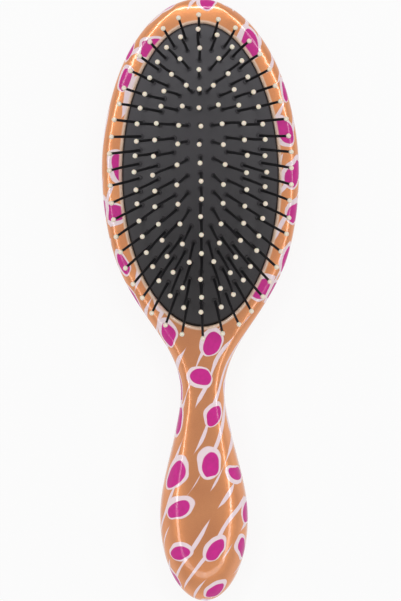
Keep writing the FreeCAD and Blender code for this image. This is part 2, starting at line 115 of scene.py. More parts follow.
def makeShellFinish():
    # lacquered copper: warm metal flake under a clear coat, printed with pale-edged pebbles
    # and slanting strokes, with a dark hairline where the two halves meet, and a painted highlight
    # along the opening's edge
    finish, tree = newFinish("lacqueredCopper")
    place = addNode(tree, "ShaderNodeTexCoord")
    inMm = addNode(tree, "ShaderNodeVectorMath", {"operation": "SCALE", "Scale": 1 / mm},
                   {0: place.outputs["Object"]})
    axes = addNode(tree, "ShaderNodeSeparateXYZ", None, {0: inMm})
    # the print wraps over the sides: each half unrolls outwards from its crown to the seam
    upper = addNode(tree, "ShaderNodeMath", {"operation": "GREATER_THAN", 1: shell["seamHeight"]},
                    {0: axes.outputs["Z"]})
    belowCrown = addNode(tree, "ShaderNodeMath", {"operation": "SUBTRACT", 0: shell["crownHeight"]},
                         {1: axes.outputs["Z"]})
    depth = addNode(tree, "ShaderNodeMapRange", None,
                    {"Value": upper, "To Min": axes.outputs["Z"], "To Max": belowCrown})
    sideways = addNode(tree, "ShaderNodeVectorMath", {"operation": "MULTIPLY", 1: (1.0, 1.0, 0.0)},
                       {0: place.outputs["Normal"]})
    apart = addNode(tree, "ShaderNodeMapRange", {"To Min": shell["backShift"], "To Max": 0.0},
                    {"Value": upper})
    sheet = addNode(tree, "ShaderNodeVectorMath", {"operation": "ADD"}, {0: inMm, 1: apart})
    wrapped = addNode(tree, "ShaderNodeVectorMath", {"operation": "MULTIPLY_ADD"},
                      {0: sideways, 1: depth, 2: sheet})
    # pebbles: one in each cell, turned at random and a little uneven
    wander = addNode(tree, "ShaderNodeTexNoise", {"Scale": shell["wanderPerMm"], "Detail": 1.0},
                     {"Vector": wrapped})
    wanderSize = (shell["wanderReach"], shell["wanderReach"], 0.0)
    uneven = addNode(tree, "ShaderNodeVectorMath", {"operation": "MULTIPLY_ADD", 1: wanderSize},
                     {0: wander.outputs["Color"], 2: wrapped})
    cellSize = {"Scale": 1 / shell["pebblePitch"], "Randomness": shell["pebbleScatter"]}
    cells = addNode(tree, "ShaderNodeTexVoronoi", {"voronoi_dimensions": "2D", **cellSize},
                    {"Vector": uneven})
    cellEdge = addNode(tree, "ShaderNodeTexVoronoi",
                       {"voronoi_dimensions": "2D", "feature": "DISTANCE_TO_EDGE", **cellSize},
                       {"Vector": uneven})
    chance = addNode(tree, "ShaderNodeSeparateColor", None, {0: cells.outputs["Color"]})
    local = addNode(tree, "ShaderNodeVectorMath", {"operation": "SUBTRACT"},
                    {0: uneven, 1: cells.outputs["Position"]})
    angle = addNode(tree, "ShaderNodeMath", {"operation": "MULTIPLY", 1: math.pi},
                    {0: chance.outputs[0]})
    turned = addNode(tree, "ShaderNodeVectorRotate", {"rotation_type": "Z_AXIS"},
                     {"Vector": local, "Angle": angle})
    small, big = shell["pebbleSizes"]
    size = addNode(tree, "ShaderNodeMapRange", {"To Min": 1 / small, "To Max": 1 / big},
                   {"Value": chance.outputs[2]})
    present = addNode(tree, "ShaderNodeMath", {"operation": "LESS_THAN", 1: shell["pebbleShare"]},
                      {0: chance.outputs[1]})
    soft = shell["softEdge"]
    ovals = []
    for grown, offset in ((0.0, (0.0, 0.0, 0.0)), (shell["pebbleEdge"], shell["edgeOffset"])):
        halfLength = shell["pebbleHalfLength"] + grown
        halfWidth = shell["pebbleHalfWidth"] + grown
        moved = addNode(tree, "ShaderNodeVectorMath", {"operation": "ADD", 1: offset}, {0: turned})
        sized = addNode(tree, "ShaderNodeVectorMath", {"operation": "SCALE"},
                        {0: moved, "Scale": size})
        scaled = addNode(tree, "ShaderNodeVectorMath",
                         {"operation": "MULTIPLY", 1: (1 / halfLength, 1 / halfWidth, 0.0)},
                         {0: sized})
        reach = addNode(tree, "ShaderNodeVectorMath", {"operation": "LENGTH"}, {0: scaled})
        fromOval = addNode(tree, "ShaderNodeMath",
                           {"operation": "MULTIPLY_ADD", 1: halfWidth, 2: -halfWidth},
                           {0: reach.outputs["Value"]})
        # a crowded pebble keeps its pale border towards its neighbour
        fromNext = addNode(tree, "ShaderNodeMath",
                           {"operation": "MULTIPLY_ADD", 1: -shell["pebblePitch"],
                            2: shell["pebbleEdge"] - grown},
                           {0: cellEdge.outputs["Distance"]})
        outside = addNode(tree, "ShaderNodeMath", {"operation": "MAXIMUM"},
                          {0: fromOval, 1: fromNext})
        inside = addNode(tree, "ShaderNodeMapRange",
                         {"From Min": -soft, "From Max": soft, "To Min": 1.0, "To Max": 0.0},
                         {"Value": outside})
        oval = addNode(tree, "ShaderNodeMath", {"operation": "MULTIPLY"}, {0: inside, 1: present})
        ovals.append(oval)
    pebbleHere, borderHere = ovals
    # strokes: slanting pale lines that swell and taper, where a slow noise is high
    slanted = addNode(tree, "ShaderNodeVectorRotate",
                      {"rotation_type": "Z_AXIS", "Angle": shell["strokeTurn"]},
                      {"Vector": wrapped})
    slantAxes = addNode(tree, "ShaderNodeSeparateXYZ", None, {0: slanted})
    slow = addNode(tree, "ShaderNodeTexNoise", {"Scale": shell["swayPerMm"], "Detail": 0.5},
                   {"Vector": wrapped})
    swayed = addNode(tree, "ShaderNodeMath", {"operation": "MULTIPLY_ADD", 1: shell["strokeSway"]},
                     {0: slow, 2: slantAxes.outputs["X"]})
    strand = addNode(tree, "ShaderNodeMath", {"operation": "PINGPONG", 1: shell["strokePitch"] / 2},
                     {0: swayed})
    swell = addNode(tree, "ShaderNodeTexNoise", {"Scale": shell["swellPerMm"], "Detail": 0.0},
                    {"Vector": wrapped})
    thinAt, thickAt = shell["swellRange"]
    halfStroke = addNode(tree, "ShaderNodeMapRange",
                         {"From Min": thinAt, "From Max": thickAt,
                          "To Min": -soft, "To Max": shell["strokeHalf"]},
                         {"Value": swell})
    beyond = addNode(tree, "ShaderNodeMath", {"operation": "SUBTRACT"}, {0: strand, 1: halfStroke})
    stroke = addNode(tree, "ShaderNodeMapRange",
                     {"From Min": -soft, "From Max": soft, "To Min": 1.0, "To Max": 0.0},
                     {"Value": beyond})
    pale = addNode(tree, "ShaderNodeMath", {"operation": "MAXIMUM"}, {0: stroke, 1: borderHere})
    # colours laid over each other
    flake = addNode(tree, "ShaderNodeTexNoise", {"Scale": 1 / shell["grain"], "Detail": 2.0},
                    {"Vector": inMm})
    cloud = addNode(tree, "ShaderNodeTexNoise", {"Scale": shell["cloudPerMm"], "Detail": 3.0},
                    {"Vector": inMm})
    mottle = addNode(tree, "ShaderNodeMath", {"operation": "MULTIPLY_ADD", 1: shell["flakeShare"]},
                     {0: flake, 2: cloud})
    deepAt, brightAt = shell["mottleRange"]
    shade = addNode(tree, "ShaderNodeMapRange", {"From Min": deepAt, "From Max": brightAt},
                    {"Value": mottle})
    metal = addNode(tree, "ShaderNodeMix",
                    {"data_type": "RGBA", 6: tint(shell["copperDeep"]), 7: tint(shell["copper"])},
                    {0: shade})
    brushed = addNode(tree, "ShaderNodeTexNoise", {"Scale": shell["inkPerMm"], "Detail": 2.0},
                      {"Vector": turned})
    berry = addNode(tree, "ShaderNodeMix",
                    {"data_type": "RGBA", 6: tint(shell["berryDeep"]), 7: tint(shell["berry"])},
                    {0: brushed})
    withPale = addNode(tree, "ShaderNodeMix", {"data_type": "RGBA", 7: tint(shell["blush"])},
                       {0: pale, 6: metal.outputs[2]})
    printed = addNode(tree, "ShaderNodeMix", {"data_type": "RGBA"},
                      {0: pebbleHere, 6: withPale.outputs[2], 7: berry.outputs[2]})
    # how far outside the opening's oval a point lies, in mm
    middle = (0.0, shell["openingY"], 0.0)
    perHalf = (1 / shell["openingAcross"], 1 / shell["openingAlong"], 0.0)
    centred = addNode(tree, "ShaderNodeVectorMath", {"operation": "SUBTRACT", 1: middle}, {0: inMm})
    inOval = addNode(tree, "ShaderNodeVectorMath", {"operation": "MULTIPLY", 1: perHalf},
                     {0: centred})
    steep = addNode(tree, "ShaderNodeVectorMath", {"operation": "MULTIPLY", 1: perHalf},
                    {0: inOval})
    square = addNode(tree, "ShaderNodeVectorMath", {"operation": "DOT_PRODUCT"},
                     {0: inOval, 1: inOval})
    excess = addNode(tree, "ShaderNodeMath", {"operation": "MULTIPLY_ADD", 1: 0.5, 2: -0.5},
                     {0: square.outputs["Value"]})
    slope = addNode(tree, "ShaderNodeVectorMath", {"operation": "LENGTH"}, {0: steep})
    fromLip = addNode(tree, "ShaderNodeMath", {"operation": "DIVIDE"},
                      {0: excess, 1: slope.outputs["Value"]})
    # painted highlight: a pale peach band along the opening's edge, standing in for the light
    # caught on the rounded lip
    before, after = shell["lipHighlightFade"]
    lip = addNode(tree, "ShaderNodeMapRange",
                  {"From Min": shell["lipHighlightWidth"] - before, "From Max": shell["lipHighlightWidth"] + after,
                   "To Min": shell["lipHighlightStrength"], "To Max": 0.0},
                  {"Value": fromLip})
    lipHighlightHere = addNode(tree, "ShaderNodeMath", {"operation": "MULTIPLY"}, {0: lip, 1: upper})
    withLipHighlight = addNode(tree, "ShaderNodeMix", {"data_type": "RGBA", 7: tint(shell["lipHighlightPeach"])},
                     {0: lipHighlightHere, 6: printed.outputs[2]})
    fromSeam = addNode(tree, "ShaderNodeMath", {"operation": "SUBTRACT", 1: shell["seamHeight"]},
                       {0: axes.outputs["Z"]})
    seamAway = addNode(tree, "ShaderNodeMath", {"operation": "ABSOLUTE"}, {0: fromSeam})
    seam = addNode(tree, "ShaderNodeMapRange",
                   {"From Min": shell["seamHalf"] / 2, "From Max": shell["seamHalf"],
                    "To Min": shell["seamStrength"], "To Max": 0.0},
                   {"Value": seamAway})
    lined = addNode(tree, "ShaderNodeMix", {"data_type": "RGBA", 7: tint(shell["seamColour"])},
                    {0: seam, 6: withLipHighlight.outputs[2]})
    # the print and the painted highlight on the lip are taken out of the metal
    printInk = addNode(tree, "ShaderNodeMath", {"operation": "MAXIMUM"}, {0: pale, 1: pebbleHere})
    inked = addNode(tree, "ShaderNodeMath", {"operation": "MAXIMUM"}, {0: printInk, 1: lipHighlightHere})
    metallic = addNode(tree, "ShaderNodeMapRange", {"To Min": shell["metalShare"], "To Max": 0.0},
                       {"Value": inked})
    smoothest, roughest = shell["metalRoughness"]
    rough = addNode(tree, "ShaderNodeMapRange", {"To Min": smoothest, "To Max": roughest},
                    {"Value": flake})
    bump = addNode(tree, "ShaderNodeBump",
                   {"Strength": shell["flakeBump"], "Distance": shell["flakeHeight"] * mm},
                   {"Height": flake})
    coat = addNode(tree, "ShaderNodeMapRange", {"To Min": 1.0, "To Max": shell["inkCoat"]},
                   {"Value": pebbleHere})
    closeFinish(tree,
                {"Specular IOR Level": shell["specular"], "Coat IOR": shell["coatIor"],
                 "Coat Roughness": shell["coatRoughness"]},
                {"Base Color": lined.outputs[2], "Metallic": metallic, "Roughness": rough,
                 "Normal": bump, "Coat Weight": coat})
    return finish


shellFinish = makeShellFinish()
for name in ("front_shell", "back_shell"):
    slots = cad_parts[name].data.materials
    slots.clear()
    slots.append(shellFinish)
print("shells finished")


# retaining ring, hidden inside
ring = {"nylon": "#3A3A3C", "nylonLight": "#454547", "grain": 0.8, "bump": 0.2, "bumpHeight": 0.1,
        "roughness": 0.6}


def makeRingFinish():
    # moulded nylon: a dull dark plastic with a fine sparked grain
    finish, tree = newFinish("mouldedNylon")
    place = addNode(tree, "ShaderNodeTexCoord")
    grain = addNode(tree, "ShaderNodeTexNoise", {"Scale": 1 / (ring["grain"] * mm), "Detail": 3.0},
                    {"Vector": place.outputs["Object"]})
    colour = addNode(tree, "ShaderNodeMix",
                     {"data_type": "RGBA", 6: tint(ring["nylon"]), 7: tint(ring["nylonLight"])},
                     {0: grain})
    bump = addNode(tree, "ShaderNodeBump",
                   {"Strength": ring["bump"], "Distance": ring["bumpHeight"] * mm},
                   {"Height": grain})
    closeFinish(tree, {"Roughness": ring["roughness"]},
                {"Base Color": colour.outputs[2], "Normal": bump})
    return finish


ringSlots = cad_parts["retaining_ring"].data.materials
ringSlots.clear()
ringSlots.append(makeRingFinish())
print("ring finished")


# rubber pad, sizes in mm
pad = {
    "centreY": 48.4, "across": 29.3, "along": 56.85,     # half sizes of the dome's edge
    "domeZ": 5.211, "domeUp": 16.889, "capShare": 0.55,  # ellipsoid that the dome is a cap of
    "flangeOut": 4.0, "flangeTop": 11.52, "flangeFoot": 10.12, "flangeRound": 0.2, "fillet": 0.4,
    "wall": 1.6, "edgeRound": 0.5, "edgeSteps": 5, "edgeFrom": 20, "edgeTo": 90, "edgeDrop": 0.05,
    "turns": 96, "steps": 18,
    "grain": 0.4, "blotch": 14.29, "roughness": (0.42, 0.58), "bump": 0.25, "bumpHeight": 0.08,
    "rubber": "#48464A", "rubberLight": "#504E53", "rubberPaintedShade": "#2E2B2D",
    "paintedLightReach": 46.0,        # mm from the middle over which painted shade at the handle end turns to painted light at the free end
}


def makePadFinish():
    # satin rubber: soft grey with a fine moulded grain, with painted light and shade: paler towards
    # the free end, darker towards the handle
    finish, tree = newFinish("satinRubber")
    place = addNode(tree, "ShaderNodeTexCoord")
    axes = addNode(tree, "ShaderNodeSeparateXYZ", None, {0: place.outputs["Object"]})
    # painted light and shade: darker towards the handle, lighter towards the free end
    paintedLightAlong = addNode(tree, "ShaderNodeMapRange",
                    {"From Min": (pad["centreY"] - pad["paintedLightReach"]) * mm,
                     "From Max": (pad["centreY"] + pad["paintedLightReach"]) * mm},
                    {"Value": axes.outputs["Y"]})
    grain = addNode(tree, "ShaderNodeTexNoise", {"Scale": 1 / (pad["grain"] * mm), "Detail": 3.0},
                    {"Vector": place.outputs["Object"]})
    blotch = addNode(tree, "ShaderNodeTexNoise", {"Scale": 1 / (pad["blotch"] * mm), "Detail": 2.0},
                     {"Vector": place.outputs["Object"]})
    soft = addNode(tree, "ShaderNodeMix",
                   {"data_type": "RGBA", 6: tint(pad["rubber"]), 7: tint(pad["rubberLight"])},
                   {0: blotch})
    # painted shade colour at the handle end, blotched rubber towards the free end
    colour = addNode(tree, "ShaderNodeMix", {"data_type": "RGBA", 6: tint(pad["rubberPaintedShade"])},
                     {0: paintedLightAlong, 7: soft.outputs[2]})
    smoothest, roughest = pad["roughness"]
    rough = addNode(tree, "ShaderNodeMapRange", {"To Min": smoothest, "To Max": roughest},
                    {"Value": blotch})
    bump = addNode(tree, "ShaderNodeBump",
                   {"Strength": pad["bump"], "Distance": pad["bumpHeight"] * mm}, {"Height": grain})
    closeFinish(tree, None, {"Base Color": colour.outputs[2], "Roughness": rough, "Normal": bump})
    return finish


def domeHeight(share, inset):
    # height of the dome at a share of its half sizes
    flat = 1 - pad["capShare"] ** 2
    return pad["domeZ"] + (pad["domeUp"] - inset) * math.sqrt(max(0.0, 1 - flat * share * share))


def makePad():
    # closed profile from the crown, down the outside, under the flange and back up inside
    profile = []    # share of the dome's half sizes, mm outward from there, height
    for k in range(1, pad["steps"]):
        share = math.sin(0.5 * math.pi * k / pad["steps"])
        profile.append((share, 0.0, domeHeight(share, 0)))
    edgeZ = domeHeight(1, 0)
    r = pad["edgeRound"]
    sweep = pad["edgeTo"] - pad["edgeFrom"]
    for k in range(pad["edgeSteps"]):
        a = math.radians(pad["edgeFrom"] + sweep * k / (pad["edgeSteps"] - 1))
        z = edgeZ - r * (1 - math.cos(a)) - pad["edgeDrop"] * k
        profile.append((1.0, -r * (1 - math.sin(a)), z))
    reach, top, foot, wall = pad["flangeOut"], pad["flangeTop"], pad["flangeFoot"], pad["wall"]
    f, c = pad["fillet"], pad["flangeRound"]
    flange = ((0.0, top + f), (0.3 * f, top + 0.25 * f), (f, top),
              (reach - c, top), (reach, top - c), (reach, foot + c), (reach - c, foot),
              (c - wall, foot), (-wall, foot + c), (-wall, edgeZ - 2 * wall))
    profile += [(1.0, out, z) for out, z in flange]
    for k in range(pad["steps"] - 1, 0, -1):
        share = math.sin(0.5 * math.pi * k / pad["steps"])
        profile.append((share, -wall * share, domeHeight(share, wall)))
    shape = bmesh.new()
    rows = []
    for share, out, z in profile:
        row = []
        for turn in range(pad["turns"]):
            a = 2 * math.pi * turn / pad["turns"]
            x = (pad["across"] * share + out) * math.cos(a)
            y = pad["centreY"] + (pad["along"] * share + out) * math.sin(a)
            row.append(shape.verts.new((x * mm, y * mm, z * mm)))
        rows.append(row)
    for low, high in zip(rows, rows[1:]):
        for k in range(pad["turns"]):
            n = (k + 1) % pad["turns"]
            shape.faces.new((low[k], high[k], high[n], low[n]))
    for row, z in ((rows[0], domeHeight(0, 0)), (rows[-1], domeHeight(0, wall))):
        pole = shape.verts.new((0, pad["centreY"] * mm, z * mm))
        for k in range(pad["turns"]):
            shape.faces.new((row[k], row[(k + 1) % pad["turns"]], pole))
    bmesh.ops.recalc_face_normals(shape, faces=shape.faces)
    mesh = bpy.data.meshes.new("rubber_pad")
    shape.to_mesh(mesh)
    shape.free()
    mesh.shade_smooth()
    piece = bpy.data.objects.new("rubber_pad", mesh)
    scene.collection.objects.link(piece)
    return piece


padFinish = makePadFinish()
rubberPad = makePad()
rubberPad.data.materials.append(padFinish)
print("pad made:", len(rubberPad.data.polygons), "faces")


# bristle field, sizes in mm
bristles = {
    # from the outside in: pins, root half sizes across and along, how far the ring sits towards the
    # free end, and lean as shares of the pin's length
    "rings": (
        {"pins": 46, "across": 22.750, "along": 50.217, "shift": 2.109,
         "leanAcross": 0.585, "leanAlong": 0.5},
        {"pins": 40, "across": 15.844, "along": 44.574, "shift": 4.104,
         "leanAcross": 0.446, "leanAlong": 0.4},
        {"pins": 32, "across": 9.969, "along": 39.558, "shift": 3.648,
         "leanAcross": 0.387, "leanAlong": 0.34},
        {"pins": 22, "across": 4.948, "along": 33.516, "shift": 3.363,
         "leanAcross": 0.204, "leanAlong": 0.27},
        {"pins": 10, "across": 0.0, "along": 26.539, "shift": 4.389,
         "leanAcross": 0.0, "leanAlong": 0.2},
    ),
    "leanBack": 0.12,       # every pin leans this much towards the handle as well
    "length": 18.6, "foot": 2.5, "rootRadius": 0.58, "endRadius": 0.48,
    "pinSteps": 6, "pinSides": 8,
    "beadRadius": 0.95, "beadSides": 10, "beadRings": 7,
    "bossRadius": 1.35, "bossTop": 0.64, "bossHeight": 0.7, "bossSides": 12,
    "ovalPoints": 256, "scatter": 0.022, "bend": 0.3, "seed": 7, "bendSeed": 101.0,
    "columnPitch": 5.6875, "outerColumn": 4,
    "nylon": "#0D0C0E", "nylonLight": "#1B1A1E", "streak": 1.111, "nylonRoughness": (0.42, 0.6),
    "cream": "#FFF6E6", "creamWarm": "#F3E3C8", "run": 1.667, "beadRoughness": (0.2, 0.34),
    "beadCoat": 0.4, "beadCoatRoughness": 0.1, "beadDepth": 0.6, "beadDepthShare": 0.1,
}


def makeNylonFinish():
    # extruded nylon: near black with a faint lengthwise sheen
    finish, tree = newFinish("blackNylon")
    place = addNode(tree, "ShaderNodeTexCoord")
    streak = addNode(tree, "ShaderNodeTexNoise",
                     {"Scale": 1 / (bristles["streak"] * mm), "Detail": 2.0},
                     {"Vector": place.outputs["Object"]})
    colour = addNode(tree, "ShaderNodeMix",
                     {"data_type": "RGBA", 6: tint(bristles["nylon"]),
                      7: tint(bristles["nylonLight"])}, {0: streak})
    smoothest, roughest = bristles["nylonRoughness"]
    rough = addNode(tree, "ShaderNodeMapRange", {"To Min": smoothest, "To Max": roughest},
                    {"Value": streak})
    closeFinish(tree, None, {"Base Color": colour.outputs[2], "Roughness": rough})
    return finish


def makeBeadFinish():
    # dipped resin: glossy cream drops, a little warmer where the dip ran thicker
    finish, tree = newFinish("dippedResin")
    place = addNode(tree, "ShaderNodeTexCoord")
    run = addNode(tree, "ShaderNodeTexNoise", {"Scale": 1 / (bristles["run"] * mm), "Detail": 1.0},
                  {"Vector": place.outputs["Object"]})
    colour = addNode(tree, "ShaderNodeMix",
                     {"data_type": "RGBA", 6: tint(bristles["creamWarm"]),
                      7: tint(bristles["cream"])}, {0: run})
    smoothest, roughest = bristles["beadRoughness"]
    rough = addNode(tree, "ShaderNodeMapRange", {"To Min": smoothest, "To Max": roughest},
                    {"Value": run})
    closeFinish(tree,
                {"Coat Weight": bristles["beadCoat"],
                 "Coat Roughness": bristles["beadCoatRoughness"],
                 "Subsurface Weight": bristles["beadDepthShare"],
                 "Subsurface Scale": bristles["beadDepth"] * mm},
                {"Base Color": colour.outputs[2], "Roughness": rough})
    return finish


def makeFieldTree(kind):
    # places one ring of roots on the dome, leans each out, and stands a pin, bead or boss on it
    tree = bpy.data.node_groups.new(kind + "Field", "GeometryNodeTree")
    tree.interface.new_socket("Geometry", in_out="INPUT", socket_type="NodeSocketGeometry")
    for label, sort in (("Pins", "Int"), ("Root Across", "Float"), ("Root Along", "Float"),
                        ("Lean Across", "Float"), ("Lean Along", "Float"), ("Lean Back", "Float"),
                        ("Shift", "Float"), ("Straight Row", "Bool"),
                        ("Column Middle", "Float"), ("Column Half", "Float"), ("Seed", "Int"),
                        ("Pin Length", "Float"), ("Scatter", "Float"), ("Bend", "Float"),
                        ("Finish", "Material")):
        tree.interface.new_socket(label, in_out="INPUT", socket_type="NodeSocket" + sort)
    tree.interface.new_socket("Geometry", in_out="OUTPUT", socket_type="NodeSocketGeometry")
    given = addNode(tree, "NodeGroupInput").outputs
    # roots spaced evenly along an oval that starts at the top, or along a straight row
    circle = addNode(tree, "GeometryNodeCurvePrimitiveCircle",
                     {"Resolution": bristles["ovalPoints"], "Radius": 1.0})
    ovalSize = addNode(tree, "ShaderNodeCombineXYZ", {2: 1.0},
                       {0: given["Root Along"], 1: given["Root Across"]})
    oval = addNode(tree, "GeometryNodeTransform", None, {"Geometry": circle, "Scale": ovalSize})
    upright = addNode(tree, "GeometryNodeTransform", {"Rotation": (0, 0, math.pi / 2)},
                      {"Geometry": oval})
    below = addNode(tree, "ShaderNodeMath", {"operation": "MULTIPLY", 1: -1.0},
                    {0: given["Root Along"]})
    rowFoot = addNode(tree, "ShaderNodeCombineXYZ", None, {1: below})
    rowTop = addNode(tree, "ShaderNodeCombineXYZ", None, {1: given["Root Along"]})
    row = addNode(tree, "GeometryNodeCurvePrimitiveLine", None, {"Start": rowFoot, "End": rowTop})
    path = addNode(tree, "GeometryNodeSwitch", {"input_type": "GEOMETRY"},
                   {0: given["Straight Row"], 1: upright, 2: row})
    roots = addNode(tree, "GeometryNodeCurveToPoints", {"mode": "COUNT"},
                    {"Curve": path, "Count": given["Pins"]})
    spot = addNode(tree, "GeometryNodeInputPosition")
    spotAxes = addNode(tree, "ShaderNodeSeparateXYZ", None, {0: spot})
    # lean outwards in proportion, with a little scatter
    rootSize = addNode(tree, "ShaderNodeCombineXYZ", {2: 1.0},
                       {0: given["Root Across"], 1: given["Root Along"]})
    leanSize = addNode(tree, "ShaderNodeCombineXYZ", None,
                       {0: given["Lean Across"], 1: given["Lean Along"]})
    share = addNode(tree, "ShaderNodeVectorMath", {"operation": "DIVIDE"}, {0: spot, 1: rootSize})
    evenLean = addNode(tree, "ShaderNodeVectorMath", {"operation": "MULTIPLY"},
                       {0: share, 1: leanSize})
    chance = addNode(tree, "FunctionNodeRandomValue",
                     {"data_type": "FLOAT_VECTOR", 0: (-1, -1, 0), 1: (1, 1, 0)},
                     {"Seed": given["Seed"]})
    leanBack = addNode(tree, "ShaderNodeCombineXYZ", None, {1: given["Lean Back"]})
    meanLean = addNode(tree, "ShaderNodeVectorMath", {"operation": "SUBTRACT"},
                       {0: evenLean, 1: leanBack})
    lean = addNode(tree, "ShaderNodeVectorMath", {"operation": "MULTIPLY_ADD"},
                   {0: chance.outputs[0], 1: given["Scatter"], 2: meanLean})
    leanDot = addNode(tree, "ShaderNodeVectorMath", {"operation": "DOT_PRODUCT"},
                      {0: lean, 1: lean})
    rest = addNode(tree, "ShaderNodeMath", {"operation": "SUBTRACT", 0: 1.0},
                   {1: leanDot.outputs["Value"]})
    rise = addNode(tree, "ShaderNodeMath", {"operation": "SQRT"}, {0: rest})
    riseWay = addNode(tree, "ShaderNodeCombineXYZ", None, {2: rise})
    way = addNode(tree, "ShaderNodeVectorMath", {"operation": "ADD"}, {0: lean, 1: riseWay})
    # height of the dome at a root, and its outward direction there
    flat = math.sqrt(1 - pad["capShare"] ** 2)
    domeSize = (pad["across"] / flat * mm, pad["along"] / flat * mm, pad["domeUp"] * mm)
    shift = addNode(tree, "ShaderNodeCombineXYZ", None, {1: given["Shift"]})
    moved = addNode(tree, "ShaderNodeVectorMath", {"operation": "ADD"}, {0: spot, 1: shift})
    onDome = addNode(tree, "ShaderNodeVectorMath", {"operation": "DIVIDE", 1: domeSize}, {0: moved})
    domeDot = addNode(tree, "ShaderNodeVectorMath", {"operation": "DOT_PRODUCT"},
                      {0: onDome, 1: onDome})
    domeRest = addNode(tree, "ShaderNodeMath", {"operation": "SUBTRACT", 0: 1.0},
                       {1: domeDot.outputs["Value"]})
    domeRise = addNode(tree, "ShaderNodeMath", {"operation": "SQRT"}, {0: domeRest})
    unit = addNode(tree, "ShaderNodeCombineXYZ", None, {2: domeRise})
    onUnit = addNode(tree, "ShaderNodeVectorMath", {"operation": "ADD"}, {0: onDome, 1: unit})
    outward = addNode(tree, "ShaderNodeVectorMath", {"operation": "DIVIDE", 1: domeSize},
                      {0: onUnit})
    lifted = addNode(tree, "ShaderNodeVectorMath",
                     {"operation": "MULTIPLY", 1: (0, 0, domeSize[2])}, {0: unit})
    centre = (0, pad["centreY"] * mm, pad["domeZ"] * mm)
    onPad = addNode(tree, "ShaderNodeVectorMath", {"operation": "ADD"}, {0: lifted, 1: shift})
    offset = addNode(tree, "ShaderNodeVectorMath", {"operation": "ADD", 1: centre}, {0: onPad})
    # keep what is needed on the points, then drop the roots of other columns
    bendSeed = addNode(tree, "ShaderNodeMath", {"operation": "ADD", 1: bristles["bendSeed"]},
                       {0: given["Seed"]})
    bendWay = addNode(tree, "FunctionNodeRandomValue",
                      {"data_type": "FLOAT_VECTOR", 0: (-1, -1, 0), 1: (1, 1, 0)},
                      {"Seed": bendSeed})
    bend = addNode(tree, "ShaderNodeVectorMath", {"operation": "SCALE"},
                   {0: bendWay.outputs[0], "Scale": given["Bend"]})
    stands = outward if kind == "boss" else way
    withWay = addNode(tree, "GeometryNodeStoreNamedAttribute",
                      {"data_type": "FLOAT_VECTOR", "Name": "way"},
                      {"Geometry": roots, "Value": stands})
    withBend = addNode(tree, "GeometryNodeStoreNamedAttribute",
                       {"data_type": "FLOAT_VECTOR", "Name": "bend"},
                       {"Geometry": withWay, "Value": bend})
    aside = addNode(tree, "ShaderNodeMath", {"operation": "SUBTRACT"},
                    {0: spotAxes.outputs["X"], 1: given["Column Middle"]})
    away = addNode(tree, "ShaderNodeMath", {"operation": "ABSOLUTE"}, {0: aside})
    other = addNode(tree, "ShaderNodeMath", {"operation": "GREATER_THAN"},
                    {0: away, 1: given["Column Half"]})
    mine = addNode(tree, "GeometryNodeDeleteGeometry", {"domain": "POINT"},
                   {"Geometry": withBend, "Selection": other})
    raised = addNode(tree, "GeometryNodeSetPosition", None, {"Geometry": mine, "Offset": offset})
    # the shape that stands on each root, along its own Z
    if kind == "pin":
        pinTop = addNode(tree, "ShaderNodeCombineXYZ", None, {2: given["Pin Length"]})
        line = addNode(tree, "GeometryNodeCurvePrimitiveLine",
                       {"Start": (0, 0, -bristles["foot"] * mm)}, {"End": pinTop})
        fine = addNode(tree, "GeometryNodeResampleCurve",
                       {"mode": "COUNT", "Count": bristles["pinSteps"]}, {"Curve": line})
        step = addNode(tree, "GeometryNodeSplineParameter")
        marked = addNode(tree, "GeometryNodeStoreNamedAttribute",
                         {"data_type": "FLOAT", "Name": "along"},
                         {"Geometry": fine, "Value": step.outputs["Factor"]})
        thick = addNode(tree, "ShaderNodeMapRange",
                        {"To Min": bristles["rootRadius"] * mm,
                         "To Max": bristles["endRadius"] * mm}, {"Value": step.outputs["Factor"]})
        ends = addNode(tree, "GeometryNodeCurvePrimitiveCircle",
                       {"Resolution": bristles["pinSides"], "Radius": 1.0})
        model = addNode(tree, "GeometryNodeCurveToMesh", {"Fill Caps": True},
                        {"Curve": marked, "Profile Curve": ends, "Scale": thick})
    elif kind == "bead":
        ball = addNode(tree, "GeometryNodeMeshUVSphere",
                       {"Segments": bristles["beadSides"], "Rings": bristles["beadRings"],
                        "Radius": bristles["beadRadius"] * mm})
        up = addNode(tree, "ShaderNodeCombineXYZ", None, {2: given["Pin Length"]})
        model = addNode(tree, "GeometryNodeTransform", None, {"Geometry": ball, "Translation": up})
    else:
        boss = addNode(tree, "GeometryNodeMeshCone",
                       {"Vertices": bristles["bossSides"], "Radius Top": bristles["bossTop"] * mm,
                        "Radius Bottom": bristles["bossRadius"] * mm,
                        "Depth": 2 * bristles["bossHeight"] * mm})
        model = addNode(tree, "GeometryNodeTransform",
                        {"Translation": (0, 0, -bristles["bossHeight"] * mm)}, {"Geometry": boss})
    wayHere = addNode(tree, "GeometryNodeInputNamedAttribute",
                      {"data_type": "FLOAT_VECTOR", "Name": "way"})
    facing = addNode(tree, "FunctionNodeAlignRotationToVector", {"axis": "Z"}, {"Vector": wayHere})
    stood = addNode(tree, "GeometryNodeInstanceOnPoints", None,
                    {"Points": raised, "Instance": model, "Rotation": facing})
    real = addNode(tree, "GeometryNodeRealizeInstances", None, {"Geometry": stood})
    if kind == "pin":
